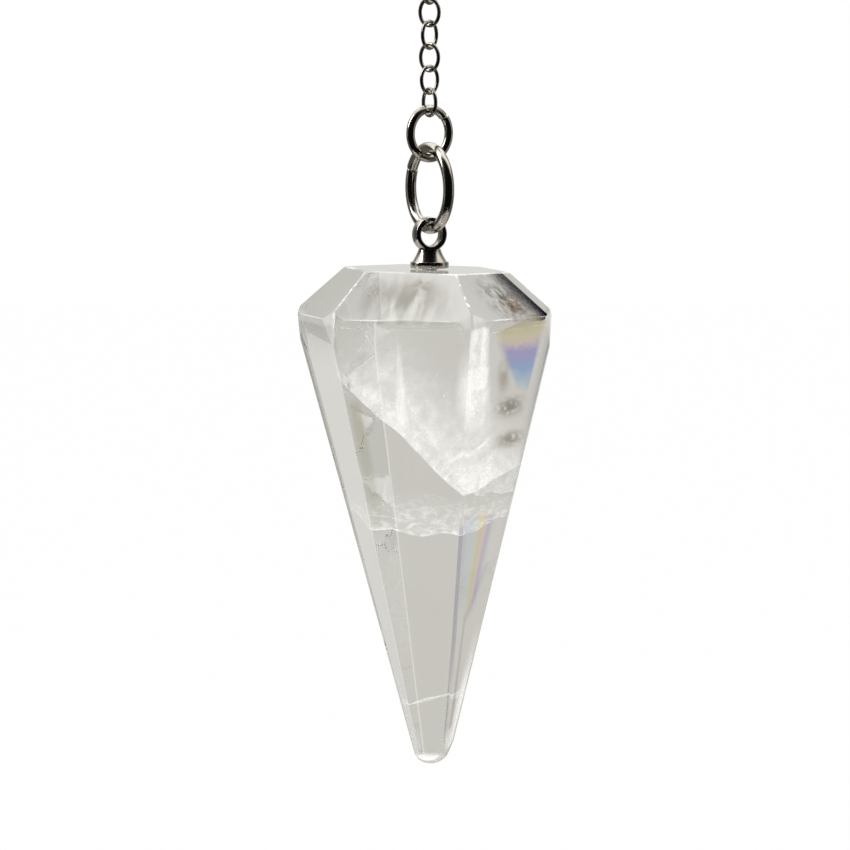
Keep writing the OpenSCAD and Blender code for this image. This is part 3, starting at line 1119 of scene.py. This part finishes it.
# %% Colour films
def film_material(name, stops, fade, bend=0.2, slant=0.0, upright=True, shape=(1, 1)):
    """A clear film whose tint follows a ramp up the sheet, or across it; stops are (place, colour)."""
    material, tree = clear_material(name)
    uv = put(tree, "TexCoord").outputs["UV"]
    noise = sheet_noise(tree, name, uv, (3, 3), 1)
    uv = wedge(tree, uv, shape)
    across = put(tree, "SeparateXYZ", {"Vector": uv}).outputs
    main, other = ("Y", "X") if upright else ("X", "Y")
    bent = math_node(tree, "MULTIPLY", math_node(tree, "SUBTRACT", noise, 0.5), bend)
    slanted = math_node(tree, "MULTIPLY", math_node(tree, "SUBTRACT", across[other], 0.5), slant)
    along_film = math_node(tree, "ADD", across[main], math_node(tree, "ADD", bent, slanted))
    ramp_node = put(tree, "ValToRGB", {"Fac": along_film})
    ramp = ramp_node.color_ramp
    ramp.elements[0].position, ramp.elements[0].color = stops[0][0], (*stops[0][1], 1)
    ramp.elements[1].position, ramp.elements[1].color = stops[-1][0], (*stops[-1][1], 1)
    for position, colour in stops[1:-1]:
        ramp.elements.new(position).color = (*colour, 1)
    cover = math_node(tree, "MULTIPLY", rim_fade(tree, uv, *fade), repeated(tree, 0.0))
    tint = mix_colour(tree, cover, WHITE, ramp_node.outputs["Color"])
    one_face = put(tree, "Gamma", {"Color": tint, "Gamma": 0.5})
    film = put(tree, "BsdfTransparent", {"Color": one_face.outputs["Color"]})
    tree.links.new(film.outputs["BSDF"], tree.nodes["Material Output"].inputs["Surface"])
    return material


CLEAR = (1, 1, 1)
RAINBOW_STOPS = [
    (0.0, CLEAR), (0.18, (0.78, 0.9, 1.0)), (0.38, (0.46, 0.65, 1.0)), (0.6, (0.58, 0.55, 0.93)),
    (0.72, (0.93, 0.82, 0.8)), (0.8, (0.92, 0.87, 0.66)), (0.92, (0.84, 0.79, 0.6)), (1.0, (0.8, 0.76, 0.68)),
]
PRISM_STOPS = [
    (0.0, (0.84, 0.84, 0.95)), (0.12, (0.88, 0.94, 1.0)), (0.3, (0.9, 0.97, 1.0)), (0.42, (0.94, 0.95, 0.82)),
    (0.5, (0.95, 0.9, 0.68)), (0.6, (1.0, 0.89, 0.86)), (0.72, (0.8, 0.77, 0.92)), (0.85, (0.9, 0.95, 1.0)),
    (1.0, CLEAR),
]
rainbow = flat_strip("rainbow_film", RIGHT, "long", foot=(2.4, -33.3), head=(0.6, -27.1), width=7.6)
settle(rainbow, "drop",
       film_material("rainbow_film", RAINBOW_STOPS, fade=(0.2, 0.15, 0.1, 0.03), bend=0.32, slant=0.2,
                     shape=(0.12, 1)))
prism = flat_strip("prism_film", RIGHT, "long", foot=(-0.2, -51.8), head=(-0.55, -42.5), width=4.4)
settle(prism, "drop",
       film_material("prism_film", PRISM_STOPS, fade=(0.05, 0.2, 0.3, 0.06), bend=0.06, slant=-0.15,
                     upright=False, shape=(0.49, 1)))

# %% [markdown]
# Thin grey and violet lines of painted shade run down the right flat, where its edges bend darker
# parts of the room into view. Towards the outline the flats are painted a little darker, where the stone
# bends the dim ends of the room into view, and a near-black film paints the dark reflection along the
# right crown edge. A grey band darkens the front flat. Each is a film as above, with one tint at its foot
# and another at its head, so a table and a loop do for all of them.

# %% Fine lines and bands of one tint: painted shade, and a grey band
VIOLET = (0.7, 0.69, 0.77)
GREY_LINE = (0.74, 0.73, 0.72)
PALE_LINE = (0.86, 0.85, 0.89)
UPPER_FADE = (0.45, 0.45, 0.0, 0.1)
LOWER_FADE = (0.45, 0.45, 0.05, 0.0)
# Name, side, part of the side, foot, head, width, tint at the foot, tint at the head, and fade of each.
# The lines, the dark crown edge, the shades and the outlines are all painted shade.
TINTS = [
    ("violet_line_upper", RIGHT, "long", (-1.3, -52.96), (-2.7, -43.05), 0.36, VIOLET, VIOLET,
     UPPER_FADE),
    ("violet_line_lower", RIGHT, "long", (-0.22, -61.9), (-1.3, -52.96), 0.36, GREY_LINE, VIOLET,
     LOWER_FADE),
    ("second_line_upper", RIGHT, "long", (-0.5, -51.37), (1.33, -46.59), 0.9, PALE_LINE,
     (0.94, 0.93, 0.97), UPPER_FADE),
    ("second_line_lower", RIGHT, "long", (-0.05, -60.5), (-0.5, -51.37), 0.5, GREY_LINE, PALE_LINE,
     LOWER_FADE),
    ("grey_band", FRONT, "long", (-2.97, -44.15), (-4.67, -33.15), 1.4, (0.97, 0.97, 0.95),
     (0.8, 0.8, 0.7), (0.35, 0.35, 0.1, 0.1)),
    ("dark_crown_edge", RIGHT, "crown", (2.95, -27.0), (1.0, -23.3), 2.4, (0.02, 0.02, 0.04),
     (0.16, 0.15, 0.16), (0.9, 0.02, 0.02, 0.02)),
    ("crown_left_shade", FRONT, "crown", (-4.3, -26.9), (-2.6, -23.5), 3.6, (0.92, 0.92, 0.93),
     (0.9, 0.9, 0.91), (0.1, 0.5, 0.1, 0.1)),
    ("left_top_shade", LEFT, "long", (0, -31.5), (0, -27.3), 10.4, (0.9, 0.9, 0.9), (0.78, 0.78, 0.77),
     (0.1, 0.1, 0.95, 0.1)),
    ("left_shade", LEFT, "long", (-2.3, -46.5), (-4.4, -27.5), 2.2, (0.95, 0.95, 0.93), (0.8, 0.81, 0.77),
     (0.05, 0.8, 0.1, 0.2)),
    ("left_outline", LEFT, "long", (-2.3, -48.5), (-4.9, -27.7), 0.8, (0.8, 0.81, 0.79),
     (0.6, 0.62, 0.58), (0.1, 0.5, 0.2, 0.1)),
    ("right_shade", RIGHT, "long", (2.7, -46.5), (4.5, -27.5), 1.6, (0.85, 0.86, 0.9), (0.7, 0.72, 0.76),
     (0.8, 0.05, 0.1, 0.1)),
    ("right_outline", RIGHT, "long", (2.5, -48.5), (4.85, -27.7), 0.6, (0.65, 0.66, 0.7),
     (0.45, 0.47, 0.52), (0.5, 0.1, 0.2, 0.1)),
]
for name, side, part, foot, head, width, foot_tint, head_tint, fade in TINTS:
    strip = flat_strip(name, side, part, foot, head, width, cells=12)
    settle(strip, "drop",
           film_material(name, [(0.0, foot_tint), (1.0, head_tint)], fade))


# %% [markdown]
# Soft grey and brown patches darken the stone behind the right flat and the crown. The lower patch on the
# right flat is a painted shadow under a bright ridge, and the mottles on both crown flats are painted
# shade, where the crown bends darker parts of the room into view. The other patches only darken the
# stone in soft spots. A film that darkens only where a noise is strong gives them all, and how dark they
# get and how much they cover are set apart.


# %% Dark patches: a painted shadow, painted shade on the crown, and soft darker spots
def darkening_film_material(name, size, grain, depth, tone, start, stretch):
    """A clear film that darkens in soft patches; a lower start lets them cover more of it."""
    material, tree = clear_material(name)
    uv = put(tree, "TexCoord").outputs["UV"]
    patches = smooth_step(tree, sheet_noise(tree, name, uv, size, grain, stretch), start, start + 0.3)
    share = math_node(tree, "MULTIPLY", patches, depth)
    share = math_node(tree, "MULTIPLY", share, rim_fade(tree, uv, *SOFT_FADE))
    share = math_node(tree, "MULTIPLY", share, repeated(tree, 0.0))
    film = put(tree, "BsdfTransparent", {"Color": mix_colour(tree, share, WHITE, (*tone, 1))})
    tree.links.new(film.outputs["BSDF"], tree.nodes["Material Output"].inputs["Surface"])
    return material


SOFT_FADE = (0.5, 0.5, 0.5, 0.5)
WARM_GREY = (0.5, 0.47, 0.42)
# Name, side, part of the side, foot, head, width, grain, depth, tone, start and stretch of each.
# The lower patch is a painted shadow, and the two crown mottles are painted shade.
DARK_PATCHES = [
    ("upper_smudge", RIGHT, "long", (0.9, -35.3), (0.8, -32.9), 4.8, 0.6, 0.68, WARM_GREY, 0.24, 0.8),
    ("lower_smudge", RIGHT, "long", (1.6, -37.8), (1.5, -35.7), 4.8, 0.6, 0.62, WARM_GREY, 0.24, 0.8),
    ("brown_arc", RIGHT, "crown", (0.6, -27.0), (1.2, -24.8), 3.6, 0.6, 0.75, (0.5, 0.4, 0.3), 0.3, 0.4),
    ("crown_right_mottle", RIGHT, "crown", (0.9, -27.8), (-0.2, -22.9), 6.8, 0.6, 0.75, (0.46, 0.43, 0.4),
     0.36, 1.0),
    ("faint_smudge", RIGHT, "long", (-0.1, -33.6), (-0.9, -29.6), 2.2, 0.9, 0.4, (0.55, 0.48, 0.42), 0.25,
     2),
    ("crown_mottle", FRONT, "crown", (-0.9, -28.0), (-0.1, -22.8), 11, 1.0, 0.75, (0.62, 0.6, 0.56), 0.32,
     2.5),
    ("peg_smudge", FRONT, "crown", (0.7, -25.6), (0.5, -22.8), 3.4, 1.2, 0.45, (0.6, 0.53, 0.46), 0.35,
     0.7),
]
for name, side, part, foot, head, width, grain, depth, tone, start, stretch in DARK_PATCHES:
    strip = flat_strip(name, side, part, foot, head, width, cells=12)
    size = (width * MM, abs(head[1] - foot[1]) * MM)
    settle(strip, "drop",
           darkening_film_material(name, size, grain * MM, depth, tone, start, stretch))
